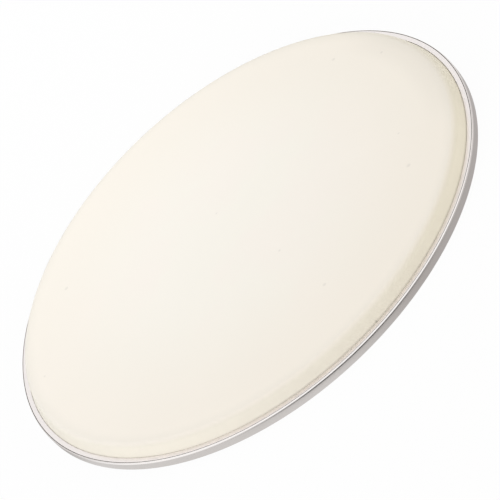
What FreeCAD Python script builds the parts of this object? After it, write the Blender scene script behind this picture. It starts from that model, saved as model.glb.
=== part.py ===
import FreeCAD, Part
import math
import os
import Sketcher

# Drum head for a 22 inch drum: a polyester film, formed into a raised playing face with a sloping
# collar, whose edge is wrapped round a core wire and locked between an aluminium channel and a
# clamp ring. The frame stands on the centre of the hoop's base, with +Z up through the film.

doc = FreeCAD.newDocument("drum_head")

# Driving dimensions, in millimetres and degrees
SIZES = (
    ("shell_diameter", "558.8", "outside of the drum shell that the head goes over, 22 inches"),
    ("shell_clearance", "1.2", "shell to the bore of the hoop, on the radius"),
    ("hoop_height", "10.5", "channel, from its base to the top of its lip"),
    ("inner_wall_height", "6.6", "channel, from its base to the top of its inner wall"),
    ("inner_wall", "1.1", "thickness of the channel's inner wall"),
    ("outer_wall", "1.22", "thickness of the channel's outer wall"),
    ("channel_floor", "1.4", "thickness of the channel's floor"),
    ("base_radius", "0.5", "rounding of the channel's base edges"),
    ("lip_crown_radius", "6", "long rounding from the outer wall up to the lip"),
    ("lip_land", "0.3", "flat on top of the lip, beside the clamp ring"),
    ("lip_edge_radius", "0.14", "rounding of the lip's edge at the seam"),
    ("inner_lip_radius", "0.45", "rounding of the inner wall's top, which the film leans over"),
    ("film_thickness", "0.25", "polyester film, 10 thousandths of an inch"),
    ("film_clearance", "0.1", "film to the metal on either side of it"),
    ("collar_rise", "13.2", "top of the hoop to the playing face"),
    ("edge_inset", "4.6", "outside of the shell to the playing edge, on the radius"),
    ("playing_edge_radius", "8", "bend of the film at the playing edge"),
    ("entry_rise", "0.7", "top of the inner wall to where the film leans in"),
    ("entry_radius", "2", "bend of the film where it goes into the hoop"),
    ("tail_length", "2.5", "film past the middle of the core wire"),
    ("wire_diameter", "3", "steel core wire"),
    ("clamp_flange", "1.2", "thickness of the clamp ring's flat top"),
    ("clamp_leg", "1", "thickness of the clamp ring's outer leg"),
    ("press_leg", "1.8", "thickness of the clamp ring's inner leg, over the wire"),
    ("clamp_recess", "0.1", "clamp ring's top below the top of the lip"),
    ("clamp_clearance", "0.5", "clamp ring to the outer wall, the seam beside the lip"),
    ("mouth_clearance", "0.3", "clamp ring's mouth to the film"),
    ("clamp_edge_radius", "0.35", "rounding of the clamp ring's top edges"),
    ("splice_thickness", "0.7", "strip that bridges the channel's butt joint"),
    ("splice_length", "60", "length of that strip along the channel"),
    ("butt_gap", "0.2", "hairline where the ends of a bent ring meet"),
    ("channel_joint_angle", "110", "where the channel's ends meet, round from +X"),
    ("clamp_joint_angle", "24", "where the clamp ring's ends meet"),
    ("wire_joint_angle", "290", "where the core wire's ends meet"),
)

sizes = doc.addObject("Spreadsheet::Sheet", "Sizes")
for row, (alias, value, meaning) in enumerate(SIZES, start=1):
    sizes.set(f"A{row}", meaning)
    sizes.set(f"B{row}", value)
    sizes.setAlias(f"B{row}", alias)
doc.recompute()

# Radii and levels that follow from the driving dimensions, from the bore outwards and from the base up
places = doc.addObject("App::VarSet", "Places")


def derive(name, formula):
    places.addProperty("App::PropertyFloat", name, "Places")
    places.setExpression(name, formula)


derive("shell_radius", "Sizes.shell_diameter / 2")
derive("bore_radius", "Places.shell_radius + Sizes.shell_clearance")
derive("inner_wall_face", "Places.bore_radius + Sizes.inner_wall")
derive("skirt_radius", "Places.inner_wall_face + Sizes.film_clearance")
derive("skirt_outside", "Places.skirt_radius + Sizes.film_thickness")
derive("press_inner_face", "Places.skirt_outside + Sizes.film_clearance")
derive("press_outer_face", "Places.press_inner_face + Sizes.press_leg")
derive("wire_half", "Sizes.wire_diameter / 2")
derive("wire_circle", "Places.skirt_outside + Sizes.film_clearance + Places.wire_half")
derive("wrap_radius", "Places.wire_half + Sizes.film_clearance + Sizes.film_thickness")
derive("tail_radius", "Places.wire_circle + Places.wrap_radius")
derive("clamp_leg_face", "Places.tail_radius + Sizes.film_clearance")
derive("clamp_outside", "Places.clamp_leg_face + Sizes.clamp_leg")
derive("outer_wall_face", "Places.clamp_outside + Sizes.clamp_clearance")
derive("outer_radius", "Places.outer_wall_face + Sizes.outer_wall")
derive("clear_outside", "Places.outer_radius + Sizes.outer_wall")
derive("crown_width", "Sizes.outer_wall - Sizes.lip_land")
derive("crown_edge", "Places.outer_radius - Places.crown_width")
derive("splice_inside", "Places.inner_wall_face + Sizes.film_clearance")
derive("splice_outside", "Places.clamp_leg_face - Sizes.film_clearance")
derive("playing_radius", "Places.shell_radius - Sizes.edge_inset")

derive("floor_top", "Sizes.channel_floor")
derive("splice_top", "Places.floor_top + Sizes.splice_thickness")
derive("wire_level", "Places.splice_top + Sizes.film_clearance + Places.wrap_radius")
derive("press_foot", "Places.wire_level + Places.wire_half + Sizes.film_clearance")
derive("tail_top", "Places.wire_level + Sizes.tail_length")
derive("inner_wall_top", "Sizes.inner_wall_height")
derive("entry_level", "Places.inner_wall_top + Sizes.entry_rise")
derive("hoop_top", "Sizes.hoop_height")
derive("crown_rise", "sqrt(Places.crown_width * (2 * Sizes.lip_crown_radius - Places.crown_width))")
derive("crown_foot", "Places.hoop_top - Places.crown_rise")
derive("clamp_top", "Places.hoop_top - Sizes.clamp_recess")
derive("groove_top", "Places.clamp_top - Sizes.clamp_flange")
derive("film_underside", "Places.hoop_top + Sizes.collar_rise - Sizes.film_thickness")

# The collar leans in from the skirt to the playing edge, and the clamp ring's mouth follows its slope
derive("collar_run", "Places.skirt_radius - Places.playing_radius")
derive("collar_slope", "Places.collar_run / (Places.film_underside - Places.entry_level)")
derive("collar_stretch", "sqrt(1 + Places.collar_slope ^ 2)")
derive("film_across", "Sizes.film_thickness * Places.collar_stretch")
derive("mouth_lean", "(Places.clamp_top - Places.entry_level) * Places.collar_slope")
derive("mouth_edge", "Places.skirt_radius + Places.film_across - Places.mouth_lean")
derive("mouth_radius", "Places.mouth_edge + Sizes.mouth_clearance")
derive("mouth_slack", "Sizes.film_thickness * (Places.collar_stretch - 1) / Places.collar_slope")
derive("mouth_foot", "Places.entry_level + Places.mouth_slack")
doc.recompute()

# The most of a wall's thickness that a rounding may take
WALL_SHARE = 0.48

# How a sketch numbers its own lines and the points of a line or arc
BASE = "base"
ORIGIN_POINT = (-1, 1)
BASE_LINE = -1
AXIS_LINE = -2
START = 1
END = 2
CENTRE = 3


def place(name):
    return 0.0 if name == BASE else getattr(places, name)


def spot(radius, level):
    return FreeCAD.Vector(place(radius), place(level), 0)


def bind(sketch, constraint, formula):
    index = sketch.addConstraint(constraint)
    sketch.setExpression(f"Constraints[{index}]", formula)


def pin_radius(sketch, geometry, point, radius):
    distance = Sketcher.Constraint("DistanceX", *ORIGIN_POINT, geometry, point, place(radius))
    bind(sketch, distance, f"Places.{radius}")


def pin_level(sketch, geometry, point, level):
    if level == BASE:
        sketch.addConstraint(Sketcher.Constraint("PointOnObject", geometry, point, BASE_LINE))
        return
    distance = Sketcher.Constraint("DistanceY", *ORIGIN_POINT, geometry, point, place(level))
    bind(sketch, distance, f"Places.{level}")


def sketch_on(body, name, role):
    sketch = body.newObject("Sketcher::SketchObject", name)
    plane = next(feature for feature in body.Origin.OriginFeatures if feature.Role == role)
    sketch.AttachmentSupport = (plane, "")
    sketch.MapMode = "FlatFace"
    return sketch


def crowned(start, end, radius):
    """Arc of this radius from one point to the next, bulging away from the section's inside."""
    chord = end - start
    outwards = FreeCAD.Vector(chord.y, -chord.x, 0).normalize()
    bulge = radius - math.sqrt(radius ** 2 - (chord.Length / 2) ** 2)
    return Part.Arc(start, (start + end) / 2 + outwards * bulge, end)


def section(body, name, corners):
    """Closed section of a ring. A corner is a radius, a level and, before an arc, the arc's radius."""
    sketch = sketch_on(body, name, "XZ_Plane")
    points = [spot(radius, level) for radius, level, *_ in corners]
    for (_, _, *crown), start, end in zip(corners, points, points[1:] + points[:1]):
        if crown:
            sketch.addGeometry(crowned(start, end, getattr(sizes, crown[0])))
        else:
            sketch.addGeometry(Part.LineSegment(start, end))
    for run, (radius, level, *crown) in enumerate(corners):
        before = (run - 1) % len(corners)
        sketch.addConstraint(Sketcher.Constraint("Coincident", before, END, run, START))
        pin_radius(sketch, run, START, radius)
        pin_level(sketch, run, START, level)
        if crown:
            bind(sketch, Sketcher.Constraint("Radius", run, getattr(sizes, crown[0])), f"Sizes.{crown[0]}")
    return sketch


def turn(body, name, sketch):
    ring = body.newObject("PartDesign::Revolution", name)
    ring.Profile = sketch
    ring.ReferenceAxis = (sketch, ["V_Axis"])
    ring.Angle = 360
    doc.recompute()
    return ring


def round_edges(body, name, corners, radius, walls):
    """Fillet on the ring edges through these corners of the section, kept within its walls."""
    base = body.Tip
    tolerance = 1e-4
    edges = []
    for number, edge in enumerate(base.Shape.Edges, start=1):
        if not isinstance(edge.Curve, Part.Circle):
            continue
        for corner in corners:
            same_radius = abs(edge.Curve.Radius - place(corner[0])) < tolerance
            same_level = abs(edge.Curve.Center.z - place(corner[1])) < tolerance
            if same_radius and same_level:
                edges.append(f"Edge{number}")
    fillet = body.newObject("PartDesign::Fillet", name)
    fillet.Base = (base, edges)
    limits = [f"Sizes.{wall} * {WALL_SHARE}" for wall in walls]
    fillet.setExpression("Radius", "; ".join([f"min(Sizes.{radius}", *limits]) + ")")
    doc.recompute()


def cut_butt_joint(body, name):
    """Hairline across the ring at +X, where the ends of the bent stock meet."""
    before = body.Shape.Volume
    sketch = sketch_on(body, f"{name}_line", "XY_Plane")
    half = sizes.butt_gap / 2
    points = [
        FreeCAD.Vector(places.playing_radius, -half, 0),
        FreeCAD.Vector(places.clear_outside, -half, 0),
        FreeCAD.Vector(places.clear_outside, half, 0),
        FreeCAD.Vector(places.playing_radius, half, 0),
    ]
    for start, end in zip(points, points[1:] + points[:1]):
        sketch.addGeometry(Part.LineSegment(start, end))
    bottom, far, top, near = range(4)
    for line in (bottom, far, top, near):
        sketch.addConstraint(Sketcher.Constraint("Coincident", line, END, (line + 1) % 4, START))
    sketch.addConstraint(Sketcher.Constraint("Horizontal", bottom))
    sketch.addConstraint(Sketcher.Constraint("Horizontal", top))
    sketch.addConstraint(Sketcher.Constraint("Vertical", far))
    sketch.addConstraint(Sketcher.Constraint("Symmetric", near, START, near, END, BASE_LINE))
    bind(sketch, Sketcher.Constraint("DistanceY", far, START, far, END, sizes.butt_gap), "Sizes.butt_gap")
    pin_radius(sketch, near, END, "playing_radius")
    pin_radius(sketch, far, START, "clear_outside")
    slot = body.newObject("PartDesign::Pocket", name)
    slot.Profile = sketch
    slot.Type = "ThroughAll"
    slot.SideType = "Symmetric"
    doc.recompute()
    if body.Shape.Volume >= before:
        raise RuntimeError(f"{name} cut nothing")


def swing(sub_part, angle):
    """Turns a sub-part about the head's axis to where its joint lies."""
    sub_part.setExpression("Placement.Rotation.Angle", f"Sizes.{angle}")


# Hoop channel: an aluminium extrusion bent to a ring, open at the top, with a tall outer wall that
# rounds over to a narrow lip and a lower inner wall that the film leans over
channel = doc.addObject("PartDesign::Body", "channel_body")
channel.Label = "hoop_channel"
channel_section = section(channel, "channel_section", (
    ("bore_radius", BASE),
    ("outer_radius", BASE),
    ("outer_radius", "crown_foot", "lip_crown_radius"),
    ("crown_edge", "hoop_top"),
    ("outer_wall_face", "hoop_top"),
    ("outer_wall_face", "floor_top"),
    ("inner_wall_face", "floor_top"),
    ("inner_wall_face", "inner_wall_top"),
    ("bore_radius", "inner_wall_top"),
))
turn(channel, "channel_ring", channel_section)
round_edges(
    channel, "lip_rounding",
    (("outer_wall_face", "hoop_top"),),
    "lip_edge_radius", ("lip_land",),
)
round_edges(
    channel, "inner_lip_rounding",
    (("bore_radius", "inner_wall_top"), ("inner_wall_face", "inner_wall_top")),
    "inner_lip_radius", ("inner_wall",),
)
round_edges(
    channel, "base_rounding",
    (("bore_radius", BASE), ("outer_radius", BASE)),
    "base_radius", ("inner_wall", "channel_floor"),
)
cut_butt_joint(channel, "channel_joint")
swing(channel, "channel_joint_angle")

# Clamp ring: an aluminium extrusion of inverted U section that stands on the channel's floor. Its
# flat top closes the channel, and its inner leg holds the core wire down
clamp = doc.addObject("PartDesign::Body", "clamp_body")
clamp.Label = "clamp_ring"
clamp_section = section(clamp, "clamp_section", (
    ("mouth_radius", "clamp_top"),
    ("clamp_outside", "clamp_top"),
    ("clamp_outside", "floor_top"),
    ("clamp_leg_face", "floor_top"),
    ("clamp_leg_face", "groove_top"),
    ("press_outer_face", "groove_top"),
    ("press_outer_face", "press_foot"),
    ("press_inner_face", "press_foot"),
    ("press_inner_face", "mouth_foot"),
))
turn(clamp, "clamp_turned", clamp_section)
round_edges(
    clamp, "clamp_rounding",
    (("mouth_radius", "clamp_top"), ("clamp_outside", "clamp_top")),
    "clamp_edge_radius", ("clamp_flange", "clamp_leg"),
)
cut_butt_joint(clamp, "clamp_joint")
swing(clamp, "clamp_joint_angle")

# Core wire: round steel wire bent to a ring, which the edge of the film is wrapped round
wire = doc.addObject("Part::Torus", "wire_ring")
wire.Label = "core_wire"
wire.setExpression("Radius1", "Places.wire_circle")
wire.setExpression("Radius2", "Places.wire_half")
wire.setExpression("Angle3", "360 - Sizes.butt_gap / Places.wire_circle * 180 / pi")
wire.setExpression("Placement.Base.z", "Places.wire_level")
swing(wire, "wire_joint_angle")

# Joint splice: a short curved strip on the channel's floor, across the channel's butt joint
splice = doc.addObject("PartDesign::Body", "splice_body")
splice.Label = "joint_splice"
splice_section = section(splice, "splice_section", (
    ("splice_inside", "floor_top"),
    ("splice_outside", "floor_top"),
    ("splice_outside", "splice_top"),
    ("splice_inside", "splice_top"),
))
splice_strip = turn(splice, "splice_strip", splice_section)
splice_strip.Midplane = True
splice_strip.setExpression("Angle", "Sizes.splice_length / Places.wire_circle * 180 / pi")
swing(splice, "channel_joint_angle")


def bend(before, corner, after, radius):
    """Arc of this radius, tangent to the straight runs on both sides of a corner."""
    towards = (before - corner).normalize()
    away = (after - corner).normalize()
    half = towards.getAngle(away) / 2
    reach = radius / math.tan(half)
    centre = corner + (towards + away).normalize() * (radius / math.sin(half))
    crown = centre + (corner - centre).normalize() * radius
    return Part.Arc(corner + towards * reach, crown, corner + away * reach)


# Playing film: one sheet, drawn as the line of its underside. It runs flat from the axis, bends at
# the playing edge, slopes out as the collar, goes down into the channel and hooks round the wire
film_line = doc.addObject("Sketcher::SketchObject", "film_line")
film_line.Placement = FreeCAD.Placement(FreeCAD.Vector(), FreeCAD.Rotation(FreeCAD.Vector(1, 0, 0), 90))
middle = FreeCAD.Vector(0, places.film_underside, 0)
playing_edge = spot("playing_radius", "film_underside")
entry = spot("skirt_radius", "entry_level")
skirt_foot = spot("skirt_radius", "wire_level")
tail_foot = spot("tail_radius", "wire_level")
tail_end = spot("tail_radius", "tail_top")
wrap_low = spot("wire_circle", "wire_level") - FreeCAD.Vector(0, places.wrap_radius, 0)
edge_arc = bend(middle, playing_edge, entry, sizes.playing_edge_radius)
entry_arc = bend(playing_edge, entry, skirt_foot, sizes.entry_radius)
wrap_arc = Part.Arc(skirt_foot, wrap_low, tail_foot)

flat = film_line.addGeometry(Part.LineSegment(middle, edge_arc.StartPoint))
edge = film_line.addGeometry(edge_arc)
collar = film_line.addGeometry(Part.LineSegment(edge_arc.EndPoint, entry_arc.StartPoint))
mouth = film_line.addGeometry(entry_arc)
skirt = film_line.addGeometry(Part.LineSegment(entry_arc.EndPoint, skirt_foot))
wrap = film_line.addGeometry(wrap_arc)
tail = film_line.addGeometry(Part.LineSegment(tail_foot, tail_end))
edge_mark = film_line.addGeometry(Part.Point(playing_edge), True)
entry_mark = film_line.addGeometry(Part.Point(entry), True)

film_line.addConstraint(Sketcher.Constraint("PointOnObject", flat, START, AXIS_LINE))
film_line.addConstraint(Sketcher.Constraint("Horizontal", flat))
film_line.addConstraint(Sketcher.Constraint("Vertical", skirt))
film_line.addConstraint(Sketcher.Constraint("Vertical", tail))
# Arcs run anticlockwise, so the two bends that turn clockwise meet their runs the other way round
for run, run_end, arc, arc_end in (
    (flat, END, edge, END),
    (collar, START, edge, START),
    (collar, END, mouth, END),
    (skirt, START, mouth, START),
    (skirt, END, wrap, START),
    (tail, START, wrap, END),
):
    film_line.addConstraint(Sketcher.Constraint("Tangent", run, run_end, arc, arc_end))
for mark in (edge_mark, entry_mark):
    film_line.addConstraint(Sketcher.Constraint("PointOnObject", mark, START, collar))
pin_level(film_line, flat, START, "film_underside")
pin_radius(film_line, edge_mark, START, "playing_radius")
pin_level(film_line, edge_mark, START, "film_underside")
pin_radius(film_line, entry_mark, START, "skirt_radius")
pin_level(film_line, entry_mark, START, "entry_level")
pin_radius(film_line, wrap, CENTRE, "wire_circle")
pin_level(film_line, wrap, CENTRE, "wire_level")
pin_level(film_line, tail, END, "tail_top")
bind(film_line, Sketcher.Constraint("Radius", edge, sizes.playing_edge_radius), "Sizes.playing_edge_radius")
bind(film_line, Sketcher.Constraint("Radius", mouth, sizes.entry_radius), "Sizes.entry_radius")
bind(film_line, Sketcher.Constraint("Radius", wrap, places.wrap_radius), "Places.wrap_radius")
doc.recompute()

film_section = doc.addObject("Part::Offset2D", "film_section")
film_section.Source = film_line
film_section.setExpression("Value", "Sizes.film_thickness")
film_section.Mode = "Skin"
film_section.Join = "Arc"
film_section.Fill = True
doc.recompute()

film = doc.addObject("Part::Revolution", "film_sheet")
film.Label = "playing_film"
film.Source = film_section
film.Axis = FreeCAD.Vector(0, 0, 1)
film.Angle = 360
film.Solid = True

# Every object has to be sound before anything is written
doc.recompute()
for item in doc.Objects:
    if "Invalid" in item.State or "Error" in item.State:
        raise RuntimeError(f"{item.Name} failed: {item.State}")

os.makedirs("parts", exist_ok=True)
for sub_part in (film, channel, clamp, wire, splice):
    shape = sub_part.Shape
    if shape.isNull() or not shape.isValid() or len(shape.Solids) != 1:
        raise RuntimeError(f"{sub_part.Label} is not one sound solid")
    shape.exportStep(f"parts/{sub_part.Label}.step")
    print(sub_part.Label, round(shape.Volume, 1), shape.BoundBox)
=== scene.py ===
import bmesh
import bpy
import math
from collections import namedtuple
from mathutils import Euler, Matrix, Vector


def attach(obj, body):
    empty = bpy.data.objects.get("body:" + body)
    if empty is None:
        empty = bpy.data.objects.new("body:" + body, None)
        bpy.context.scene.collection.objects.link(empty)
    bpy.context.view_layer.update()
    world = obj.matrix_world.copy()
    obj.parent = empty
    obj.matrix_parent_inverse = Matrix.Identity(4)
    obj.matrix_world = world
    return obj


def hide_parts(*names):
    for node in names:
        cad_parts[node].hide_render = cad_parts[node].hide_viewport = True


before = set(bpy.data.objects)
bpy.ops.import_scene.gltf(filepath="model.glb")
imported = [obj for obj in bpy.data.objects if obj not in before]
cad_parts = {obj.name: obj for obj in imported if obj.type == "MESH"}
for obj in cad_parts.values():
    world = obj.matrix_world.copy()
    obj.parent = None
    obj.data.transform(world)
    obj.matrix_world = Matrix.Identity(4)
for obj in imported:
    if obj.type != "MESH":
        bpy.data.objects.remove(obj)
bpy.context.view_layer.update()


# Hoop channel: an aluminium extrusion bent to a ring, with its two ends butted together. It is open
# at the top: a tall outer wall that rounds over to a narrow lip, and a low inner wall in the head's
# bore. The metal is dull and lined as it came from the die. The lip is rubbed smooth, and its colour
# is raised there as a painted highlight; the seam's wall is darkened as painted shade.
mm = 0.001
bore_radius = 280.6
inner_wall_face = 281.7
outer_wall_face = 287.1
crown_edge = 287.4
hoop_outside = 288.32
floor_top = 1.4
inner_wall_top = 6.6
crown_foot = 7.307
crown_radius = 6
crown_turns = range(0, 31, 3)
hoop_top = 10.5
base_rounding = 0.5
inner_wall_rounding = 0.45
lip_rounding = 0.14
seam_rounding = 0.22
channel_joint = 110
butt_gap = 0.2
ring_steps = 480
weld_distance = 0.002
sharp_angle = 40
channel_colour = (0.62, 0.59, 0.57)
channel_roughness = 0.34
channel_lines_depth = 0.006
channel_lines_pitch = 0.35
# Painted highlight: the lip's paler colour.
lip_highlight_colour = (0.95, 0.915, 0.895)
lip_roughness = 0.08
lip_start = 8
lip_full = 8.9
# Painted shade in the seam, on the wall beside the clamp ring and on the clamp ring's sides.
seam_shade_colour = (0.2, 0.18, 0.16)
seam_shade_roughness = 0.6


def rounded(corners, steps=7):
    """Points of a closed section whose corners are (radius, level, rounding), all in millimetres."""
    points = []
    for index, (radius, level, rounding) in enumerate(corners):
        corner = Vector((radius, level))
        before = Vector(corners[index - 1][:2]) - corner
        after = Vector(corners[(index + 1) % len(corners)][:2]) - corner
        points += bent(corner, before.normalized(), after.normalized(), rounding, steps)
    return points


def bent(corner, before, after, rounding, steps):
    """Arc in place of a corner, between the directions of the two runs that meet there."""
    if rounding == 0:
        return [corner]
    half = before.angle(after) / 2
    centre = corner + (before + after).normalized() * rounding / math.sin(half)
    start = corner + before * rounding / math.tan(half) - centre
    end = corner + after * rounding / math.tan(half) - centre
    turn = start.angle_signed(end)
    return [centre + Matrix.Rotation(-turn * step / steps, 2) @ start for step in range(steps + 1)]


def spun(name, section, joint=None, closed=True):
    """Ring made by turning a section about the head's axis, cut across at its butt joint."""
    gap = 0 if joint is None else butt_gap / section[0].x
    start = math.radians(joint or 0) + gap / 2
    work = bmesh.new()
    outline = [
        work.verts.new((p.x * mm * math.cos(start), p.x * mm * math.sin(start), p.y * mm))
        for p in section
    ]
    followers = outline[1:] + outline[:1] if closed else outline[1:]
    edges = [work.edges.new(pair) for pair in zip(outline, followers)]
    bmesh.ops.spin(
        work, geom=outline + edges, cent=(0, 0, 0), axis=(0, 0, 1), steps=ring_steps,
        angle=math.tau - gap, use_merge=joint is None,
    )
    bmesh.ops.remove_doubles(work, verts=work.verts, dist=weld_distance * mm)
    bmesh.ops.holes_fill(work, edges=[edge for edge in work.edges if edge.is_boundary], sides=0)
    bmesh.ops.recalc_face_normals(work, faces=work.faces)
    mesh = bpy.data.meshes.new(name)
    work.to_mesh(mesh)
    work.free()
    mesh.shade_smooth()
    mesh.set_sharp_from_angle(angle=math.radians(sharp_angle))
    piece = bpy.data.objects.new(name, mesh)
    bpy.context.scene.collection.objects.link(piece)
    return piece


class Shade:
    """A socket in a node tree. Sums written with it add Math nodes, and node() adds any other node."""

    def __init__(self, tree, socket=None):
        self.tree = tree
        self.socket = socket

    def node(self, kind, settings, sockets, output=0):
        added = self.tree.nodes.new(kind)
        for name, value in settings.items():
            setattr(added, name, value)
        for name, value in sockets.items():
            socket = added.inputs[name]
            if isinstance(value, Shade):
                self.tree.links.new(value.socket, socket)
            elif socket.type == "RGBA":
                socket.default_value = (*value, 1)
            else:
                socket.default_value = value
        return Shade(self.tree, added.outputs[output]) if added.outputs else None

    def maths(self, operation, *values):
        return self.node("ShaderNodeMath", {"operation": operation}, dict(enumerate(values)))

    def __add__(self, other):
        return self.maths("ADD", self, other)

    def __sub__(self, other):
        return self.maths("SUBTRACT", self, other)

    def __rsub__(self, other):
        return self.maths("SUBTRACT", other, self)

    def __mul__(self, other):
        return self.maths("MULTIPLY", self, other)

    def __truediv__(self, other):
        return self.maths("DIVIDE", self, other)

    def __pow__(self, other):
        return self.maths("POWER", self, other)

    __radd__ = __add__
    __rmul__ = __mul__

    def ramp(self, low, high):
        """0 at low and 1 at high, eased at both ends."""
        return self.node(
            "ShaderNodeMapRange", {"interpolation_type": "SMOOTHSTEP"},
            {"Value": self, "From Min": low, "From Max": high},
        )


Place = namedtuple("Place", "position x y z radius")


def new_finish(name):
    """An empty material, and the place on its surface in metres, with its distance from the axis."""
    material = bpy.data.materials.new(name)
    material.use_nodes = True
    material.node_tree.nodes.clear()
    shade = Shade(material.node_tree)
    position = shade.node("ShaderNodeNewGeometry", {}, {}, "Position")
    x, y, z = (shade.node("ShaderNodeSeparateXYZ", {}, {"Vector": position}, axis) for axis in "XYZ")
    return material, shade, Place(position, x, y, z, (x * x + y * y) ** 0.5)


def noise(shade, vector, scale, detail):
    """Soft noise, mostly near the middle between 0 and 1."""
    sockets = {"Vector": vector, "Scale": scale, "Detail": detail}
    return shade.node("ShaderNodeTexNoise", {}, sockets, "Fac")


def mixed(shade, share, colour, other):
    """A colour that gives way to another one by its share."""
    return shade.node("ShaderNodeMix", {"data_type": "RGBA"}, {0: share, 6: colour, 7: other}, 2)


def toned(shade, colour, tone):
    """A colour made lighter or darker."""
    return shade.node(
        "ShaderNodeVectorMath", {"operation": "SCALE"}, {0: colour, "Scale": tone}, "Vector",
    )


def drawn_lines(shade, place, pitch):
    """Streaks that run round a ring, as a die leaves them, of about this pitch in millimetres."""
    across = 1 / (pitch * mm)
    along = 9
    slant = 0.7
    streaks = shade.node("ShaderNodeCombineXYZ", {}, {
        "X": place.radius * across,
        "Y": place.z * across,
        "Z": (place.x + place.y * slant) * along,
    })
    return noise(shade, streaks, scale=1, detail=3)


def metal(name, colour, roughness, lines_depth, lines_pitch, zones=()):
    """Bare metal with lines drawn along it. A zone of it may have another colour and roughness."""
    material, shade, place = new_finish(name)
    for where, zone_colour, zone_roughness in zones:
        share = where(place)
        colour = mixed(shade, share, colour, zone_colour)
        roughness = share * (zone_roughness - roughness) + roughness
    lines = drawn_lines(shade, place, lines_pitch)
    patches = noise(shade, place.position, scale=24, detail=4)
    scuffs = noise(shade, place.position, scale=420, detail=2).ramp(0.6, 0.75)
    normal = shade.node(
        "ShaderNodeBump", {}, {"Strength": 0.35, "Distance": lines_depth * mm, "Height": lines},
    )
    surface = shade.node("ShaderNodeBsdfPrincipled", {}, {
        "Base Color": toned(shade, colour, 0.93 + lines * 0.08 + patches * 0.06),
        "Metallic": 1,
        "Roughness": (lines - 0.5) * 0.12 + scuffs * 0.1 + roughness,
        "Normal": normal,
    })
    shade.node("ShaderNodeOutputMaterial", {}, {"Surface": surface})
    return material


def on_the_highlit_lip(place):
    """The top of the outer wall, rubbed smooth, where its colour is raised as a painted highlight."""
    return place.z.ramp(lip_start * mm, lip_full * mm)


def seam_shade_left(place):
    """Share of the painted seam shade that is kept: less on the far side, where light falls into the
    seam.
    """
    far = (place.y - place.x * 0.15) / place.radius
    return 1 - far.ramp(0.22, 0.5)


def seam_wall_shade(place):
    """The outer wall's inner face, where it stands in the seam beside the clamp ring: painted shade."""
    face = 1 - place.radius.ramp((outer_wall_face + 0.02) * mm, (outer_wall_face + 0.16) * mm)
    above = place.z.ramp(7 * mm, 8 * mm)
    below = 1 - place.z.ramp((hoop_top - 0.5) * mm, (hoop_top - 0.2) * mm)
    return face * above * below * seam_shade_left(place)


crown = [
    (
        hoop_outside - crown_radius * (1 - math.cos(math.radians(turn))),
        crown_foot + crown_radius * math.sin(math.radians(turn)),
        0,
    )
    for turn in crown_turns
]
channel = spun("hoop_channel_looks", rounded((
    (bore_radius, 0, base_rounding),
    (hoop_outside, 0, base_rounding),
    *crown,
    (crown_edge, hoop_top, lip_rounding),
    (outer_wall_face, hoop_top, seam_rounding),
    (outer_wall_face, floor_top, 0),
    (inner_wall_face, floor_top, 0),
    (inner_wall_face, inner_wall_top, inner_wall_rounding),
    (bore_radius, inner_wall_top, inner_wall_rounding),
)), joint=channel_joint)
channel.data.materials.append(metal(
    "dull extruded aluminium", channel_colour, channel_roughness,
    lines_depth=channel_lines_depth, lines_pitch=channel_lines_pitch,
    zones=(
        (on_the_highlit_lip, lip_highlight_colour, lip_roughness),
        (seam_wall_shade, seam_shade_colour, seam_shade_roughness),
    ),
))
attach(channel, "root")
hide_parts("hoop_channel")


# Joint splice: a short strip of the same aluminium on the channel's floor, which bridges the
# channel's butt joint and keeps its two ends in line. It is inside the closed hoop.
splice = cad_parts["joint_splice"]
splice.data.materials.clear()
splice.data.materials.append(metal(
    "sheared aluminium strip", channel_colour, roughness=0.4, lines_depth=0.01, lines_pitch=0.6,
))


# Core wire: drawn steel wire bent to a ring. The edge of the film is wrapped round it, so that the
# edge is too thick to pull out through the hoop's mouth.
wire_colour = (0.44, 0.44, 0.44)
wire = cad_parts["core_wire"]
wire.data.materials.clear()
wire.data.materials.append(metal(
    "drawn steel wire", wire_colour, roughness=0.28, lines_depth=0.004, lines_pitch=0.25,
))


# Playing film: one sheet of polyester, pressed hot over a form, which gives it the flat playing face,
# the bend at the playing edge and the sloping collar. Its face has a thin matt coating, its underside
# is bare, and its edge goes down into the hoop and hooks round the core wire.
film_thickness = 0.25
film_underside = 23.45
playing_edge = 274.8
playing_edge_radius = 8
playing_edge_steps = 18
skirt_inside = 281.8
entry_level = 7.3
entry_radius = 2
entry_steps = 8
wire_circle = 283.65
wire_level = 4.05
wrap_radius = 1.85
wrap_steps = 16
tail_top = 6.55
flat_shares = (0, 0.25, 0.5, 0.7, 0.85, 0.95)
collar_steps = 10
coating_colour = (0.906, 0.872, 0.792)
warm_colour = (0.906, 0.86, 0.786)
# Painted shade: darker copies of the coating's colour for the rim, the bend and the collar.
rim_shade_colour = (0.893, 0.84, 0.75)
bend_shade_colour = (0.823, 0.777, 0.69)
collar_shade_colour = (0.767, 0.73, 0.627)
bare_film_colour = (0.80, 0.765, 0.67)
specks = (
    (174.8, -137.3, 2.3), (206.6, 111.2, 1.9), (-175.4, 141.8, 2.2), (30.5, -189.9, 2),
    (21.5, -90.2, 1.5), (245.9, 54.8, 1.6), (192.6, -82, 1.2), (0.2, 44.4, 1.25),
    (-251, 40.5, 1.25),
)
speck_depth = 0.105
nick = (42.1, -278.2, 1.4)
nick_depth = 0.3

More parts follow.
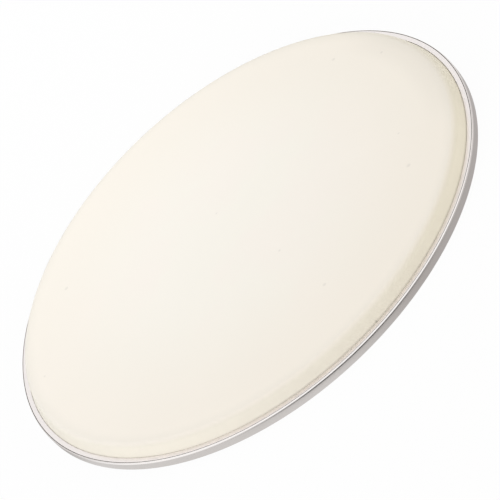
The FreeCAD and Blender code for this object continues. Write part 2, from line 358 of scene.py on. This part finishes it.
down_the_collar = Vector((skirt_inside - playing_edge, entry_level - film_underside)).normalized()
edge_bend = bent(
    Vector((playing_edge, film_underside)), Vector((-1, 0)), down_the_collar,
    playing_edge_radius, playing_edge_steps,
)
entry_bend = bent(
    Vector((skirt_inside, entry_level)), -down_the_collar, Vector((0, -1)),
    entry_radius, entry_steps,
)
hook = [
    Vector((wire_circle, wire_level))
    + Matrix.Rotation(math.pi * step / wrap_steps, 2) @ Vector((-wrap_radius, 0))
    for step in range(wrap_steps + 1)
]
flat_rings = [Vector((playing_edge * share, film_underside)) for share in flat_shares]
collar_rings = [
    edge_bend[-1].lerp(entry_bend[0], step / collar_steps) for step in range(1, collar_steps)
]
underside = flat_rings + edge_bend + collar_rings + entry_bend + hook
underside.append(Vector((wire_circle + wrap_radius, tail_top)))
runs = [after - before for before, after in zip(underside, underside[1:])]
between = [(a.normalized() + b.normalized()) / 2 for a, b in zip(runs, runs[1:])]
runs = [runs[0], *between, runs[-1]]
face = [
    point + Vector((-run.y, run.x)).normalized() * film_thickness
    for point, run in zip(underside, runs)
]
film = spun("playing_film_looks", underside + face[::-1], closed=False)


def marked(place, mark):
    """1 on a small round mark, given by its place and size in millimetres, and 0 away from it."""
    mark_x, mark_y, size = mark
    away = ((place.x - mark_x * mm) ** 2 + (place.y - mark_y * mm) ** 2) ** 0.5
    return 1 - away.ramp(size * 0.4 * mm, size * 1.5 * mm)


def coating():
    """Cream matt coating: clouded, grained and specked, with painted shade towards the rim, on the bend
    and collar, at the collar's foot and at the right end.
    """
    material, shade, place = new_finish("cream film coating")
    clouds = noise(shade, place.position, scale=9, detail=3)
    grain = noise(shade, place.position, scale=1400, detail=3)
    peel = noise(shade, place.position, scale=260, detail=2)
    to_the_right = place.x / place.radius
    pulls_round, pulls_down = 60, 40
    round_the_rim = shade.node("ShaderNodeCombineXYZ", {}, {
        "X": to_the_right * pulls_round,
        "Y": place.y / place.radius * pulls_round,
        "Z": place.z * pulls_down,
    })
    pulls = noise(shade, round_the_rim, scale=1, detail=4)
    collar = 1 - place.z.ramp(20.5 * mm, 23.6 * mm)
    # Painted shade: the collar's foot is darkened where it goes into the hoop, less on the left, where
    # light falls into the gap.
    foot_shade_depth = 0.05 + to_the_right.ramp(-0.6, -0.2) * 0.17
    foot_shade = (1 - place.z.ramp(10.2 * mm, 12.4 * mm)) * foot_shade_depth
    # Painted shade: the flat face darkens towards its right end, away from the lamps.
    right_end_shade = to_the_right.ramp(0.85, 1) * place.radius.ramp(235 * mm, 262 * mm) * 0.06
    tone = 0.98 + clouds * 0.03 + grain * 0.03 + (pulls - 0.5) * collar * 0.03
    tone = tone - foot_shade - right_end_shade
    for speck in specks:
        tone = tone - marked(place, speck) * speck_depth
    tone = tone - marked(place, nick) * nick_depth
    colour = coating_colour
    # Painted shade: the colour deepens towards the rim, more on the bend and most on the collar.
    for share, tint in (
        (clouds.ramp(0.44, 0.62), warm_colour),
        (place.radius.ramp(80 * mm, 276 * mm), rim_shade_colour),
        (place.radius.ramp(258 * mm, 277 * mm), bend_shade_colour),
        (collar, collar_shade_colour),
    ):
        colour = mixed(shade, share, colour, tint)
    height = grain * 0.5 + peel * 0.7 + pulls * collar * 0.8
    normal = shade.node(
        "ShaderNodeBump", {}, {"Strength": 0.3, "Distance": 0.02 * mm, "Height": height},
    )
    surface = shade.node("ShaderNodeBsdfPrincipled", {}, {
        "Base Color": toned(shade, colour, tone),
        "Roughness": 0.4 + grain * 0.12,
        "Specular IOR Level": 0.4,
        "Normal": normal,
    })
    shade.node("ShaderNodeOutputMaterial", {}, {"Surface": surface})
    return material


def bare_film():
    """Uncoated polyester: smooth, a little deeper in colour, with faint rub marks from the form."""
    material, shade, place = new_finish("bare film underside")
    clouds = noise(shade, place.position, scale=14, detail=3)
    rubs = noise(shade, place.position, scale=180, detail=5)
    normal = shade.node(
        "ShaderNodeBump", {}, {"Strength": 0.15, "Distance": 0.01 * mm, "Height": rubs},
    )
    surface = shade.node("ShaderNodeBsdfPrincipled", {}, {
        "Base Color": toned(shade, bare_film_colour, 0.96 + clouds * 0.06 + rubs * 0.02),
        "Roughness": 0.24 + rubs.ramp(0.5, 0.7) * 0.16,
        "Normal": normal,
    })
    shade.node("ShaderNodeOutputMaterial", {}, {"Surface": surface})
    return material


film.data.materials.append(coating())
film.data.materials.append(bare_film())
for polygon in film.data.polygons:
    outward = Vector(polygon.center[:2]).normalized().dot(Vector(polygon.normal[:2]))
    polygon.material_index = 1 if polygon.normal.z + outward < 0 else 0
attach(film, "root")
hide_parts("playing_film")


# Clamp ring: an aluminium extrusion of inverted U section, bent to a ring and pressed down into the
# channel. Its flat top is the pale band between the film and the lip, finely satined, and its inner
# leg keeps the core wire down.
mouth_radius = 281.03
press_inner_face = 282.15
press_outer_face = 283.95
clamp_leg_face = 285.6
clamp_outside = 286.6
press_foot = 5.65
mouth_foot = 7.35
groove_top = 9.2
clamp_top = 10.4
clamp_rounding = 0.35
clamp_joint = 24
clamp_colour = (0.922, 0.876, 0.858)
clamp_roughness = 0.42
clamp_lines_depth = 0.004
clamp_lines_pitch = 0.2


def clamp_seam_shade(place):
    """The clamp ring's sides and the outer edge of its top, darkened as painted shade in the seam."""
    level = place.z.ramp((clamp_top - 0.6) * mm, (clamp_top - 0.05) * mm)
    inside = 1 - place.radius.ramp((clamp_outside - 0.24) * mm, (clamp_outside - 0.04) * mm)
    return (1 - level * inside) * seam_shade_left(place)


clamp = spun("clamp_ring_looks", rounded((
    (mouth_radius, clamp_top, clamp_rounding),
    (clamp_outside, clamp_top, clamp_rounding),
    (clamp_outside, floor_top, 0),
    (clamp_leg_face, floor_top, 0),
    (clamp_leg_face, groove_top, 0),
    (press_outer_face, groove_top, 0),
    (press_outer_face, press_foot, 0),
    (press_inner_face, press_foot, 0),
    (press_inner_face, mouth_foot, 0),
)), joint=clamp_joint)
clamp.data.materials.append(metal(
    "pale satin aluminium", clamp_colour, clamp_roughness,
    lines_depth=clamp_lines_depth, lines_pitch=clamp_lines_pitch,
    # Painted shade in the seam darkens the clamp ring's sides and the outer edge of its top.
    zones=((clamp_seam_shade, seam_shade_colour, seam_shade_roughness),),
))
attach(clamp, "root")
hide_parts("clamp_ring")


# Floor: a white paper sheet that the head lies on, cut open inside the hoop so that the underside gets
# light. It looks white from above and keeps the head's shadow, and nothing of it is seen from below.
floor_edges = (0.284, 9)
floor_level = -0.02
flat_step = 5
paper_colour = (0.8, 0.8, 0.8)
white_colour = (1, 1, 1)


def flat_ring(name, edges, ends, level):
    """Flat ring, or a part of one, that faces up: between two radii and between two azimuths."""
    work = bmesh.new()
    rows = []
    for azimuth in range(ends[0], ends[1] + 1, flat_step):
        cosine, sine = math.cos(math.radians(azimuth)), math.sin(math.radians(azimuth))
        rows.append([work.verts.new((edge * cosine, edge * sine, level)) for edge in edges])
    for row, after in zip(rows, rows[1:]):
        work.faces.new((row[0], row[1], after[1], after[0]))
    mesh = bpy.data.meshes.new(name)
    work.to_mesh(mesh)
    work.free()
    ring = bpy.data.objects.new(name, mesh)
    bpy.context.scene.collection.objects.link(ring)
    return ring


def seen_directly(shade):
    """1 for what the camera sees, also by way of metal or a clear piece, and 0 for light that spreads."""
    path = [
        shade.node("ShaderNodeLightPath", {}, {}, ray)
        for ray in ("Is Camera Ray", "Is Glossy Ray", "Is Transmission Ray")
    ]
    return path[0].maths("MAXIMUM", path[0], path[1].maths("MAXIMUM", path[1], path[2]))


floor = flat_ring("floor", floor_edges, (0, 360), floor_level * mm)
paper, shade, place = new_finish("white paper")
fibres = noise(shade, place.position, scale=900, detail=3)
lit = shade.node("ShaderNodeBsdfDiffuse", {}, {"Color": paper_colour, "Roughness": 0.4})
white = shade.node("ShaderNodeEmission", {}, {"Color": white_colour, "Strength": 1})
white_share = seen_directly(shade) * (0.95 + fibres * 0.02)
sheet = shade.node("ShaderNodeMixShader", {}, {0: white_share, 1: lit, 2: white})
clear = shade.node("ShaderNodeBsdfTransparent", {}, {})
below = shade.node("ShaderNodeNewGeometry", {}, {}, "Backfacing")
shade.node("ShaderNodeOutputMaterial", {}, {
    "Surface": shade.node("ShaderNodeMixShader", {}, {0: below, 1: sheet, 2: clear}),
})
floor.data.materials.append(paper)


# Room light: an even white room, and in it the four soft lamps of a plain product set: one over the far
# side, two low at the left and one low at the right. A fifth one under the floor lights the underside.
# A grey card on the floor glows at a set level and is seen only in the metal, in front and at the left
# end: a painted reflection of a darker floor, with painted shadow beside the hoop in front.
wall_level = 0.02
ceiling_level = 0.51
world = bpy.data.worlds.new("white room")
world.use_nodes = True
world.node_tree.nodes.clear()
room = Shade(world.node_tree)
direction = room.node("ShaderNodeTexCoord", {}, {}, "Generated")
height = room.node("ShaderNodeSeparateXYZ", {}, {"Vector": direction}, "Z").ramp(0, 1)
walls, ceiling, plain = (
    room.node("ShaderNodeBackground", {}, {"Color": white_colour, "Strength": level})
    for level in (wall_level, ceiling_level, 1)
)
spread = room.node("ShaderNodeMixShader", {}, {0: height, 1: walls, 2: ceiling})
room.node("ShaderNodeOutputWorld", {}, {
    "Surface": room.node("ShaderNodeMixShader", {}, {0: seen_directly(room), 1: spread, 2: plain}),
})
bpy.context.scene.world = world


def lamp(name, azimuth, elevation, distance, size, watts, colour):
    """A square soft lamp that points at the head, out of the camera's sight and the metal's."""
    light = bpy.data.lights.new(name, "AREA")
    light.shape = "SQUARE"
    light.size = size
    light.energy = watts
    light.color = colour
    lamp_object = bpy.data.objects.new(name, light)
    lamp_object.rotation_euler = Euler(
        (math.radians(90 - elevation), 0, math.radians(azimuth + 90)), "XYZ",
    )
    outward = lamp_object.rotation_euler.to_matrix() @ Vector((0, 0, 1))
    lamp_object.location = outward * distance
    lamp_object.visible_camera = False
    lamp_object.visible_glossy = False
    bpy.context.scene.collection.objects.link(lamp_object)


lamp("far lamp", 104, 45, distance=1.3, size=0.8, watts=7.6, colour=(0.92, 0.955, 1))
lamp("left lamp", 207, 20, distance=2.4, size=1.2, watts=26.5, colour=(0.955, 0.96, 1))
lamp("near left lamp", 240, 20, distance=2.4, size=1.2, watts=15, colour=(1, 0.95, 0.945))
lamp("right lamp", 340, 20, distance=2.4, size=1.2, watts=29, colour=(1, 0.95, 0.85))
lamp("lamp below", 270, -80, distance=1.5, size=1.5, watts=25, colour=white_colour)

# The grey card glows at a set level and only the metal sees it: a painted reflection of a darker floor.
card_edges = (0.2885, 1.3)
card_ends = (120, 395)
card_level = 0.2
card_colour = (1, 0.975, 0.965)
card_tone = 0.66
card_painted_shadow = 0.56
card = flat_ring("grey card", card_edges, card_ends, card_level * mm)
card.visible_camera = False
card.visible_diffuse = False
card.visible_shadow = False
grey, shade, place = new_finish("grey card with painted shadow")
bearing = place.x.maths("ARCTAN2", place.x, 0 - place.y)
front = place.radius.ramp(0.300, 0.306)
right = bearing.ramp(-0.15, 0.4)
near = bearing.ramp(-0.9, -0.1)
near_left = 1 - bearing.ramp(0, 0.95)
right_limit = 1 - bearing.ramp(1.35, 1.9)
left_end = bearing.ramp(-2.3, -1.9) * (1 - bearing.ramp(-1.4, -1.1))
# Painted shadow: the card is darkest beside the hoop in front, where the head's shadow falls on the
# floor.
tone = card_tone - front * near * near_left * card_painted_shadow
share = front.maths("MAXIMUM", front, right) * near * right_limit + left_end
card_face = toned(shade, card_colour, tone)
dark = shade.node("ShaderNodeEmission", {}, {"Color": card_face, "Strength": 1})
clear = shade.node("ShaderNodeBsdfTransparent", {}, {})
shade.node("ShaderNodeOutputMaterial", {}, {
    "Surface": shade.node("ShaderNodeMixShader", {}, {0: share, 1: clear, 2: dark}),
})
card.data.materials.append(grey)


# Camera: a long lens well above the head, turned about its own line of sight, so that the head shows
# as a long slanting oval and seems to stand on edge.
view_elevation = 33.156
view_roll = -43.005
view_distance = 2.9176
aim = Vector((-0.00024, -0.03279, 0.01112))
lens = bpy.data.cameras.new("camera")
lens.lens = 201.6
lens.sensor_width = 36
camera = bpy.data.objects.new("camera", lens)
turned = Euler((math.radians(90 - view_elevation), 0, 0)).to_matrix()
turned = turned @ Matrix.Rotation(math.radians(view_roll), 3, "Z")
camera.rotation_euler = turned.to_euler()
camera.location = aim + turned @ Vector((0, 0, view_distance))
bpy.context.scene.collection.objects.link(camera)
bpy.context.scene.camera = camera
bpy.context.scene.view_settings.view_transform = "Standard"
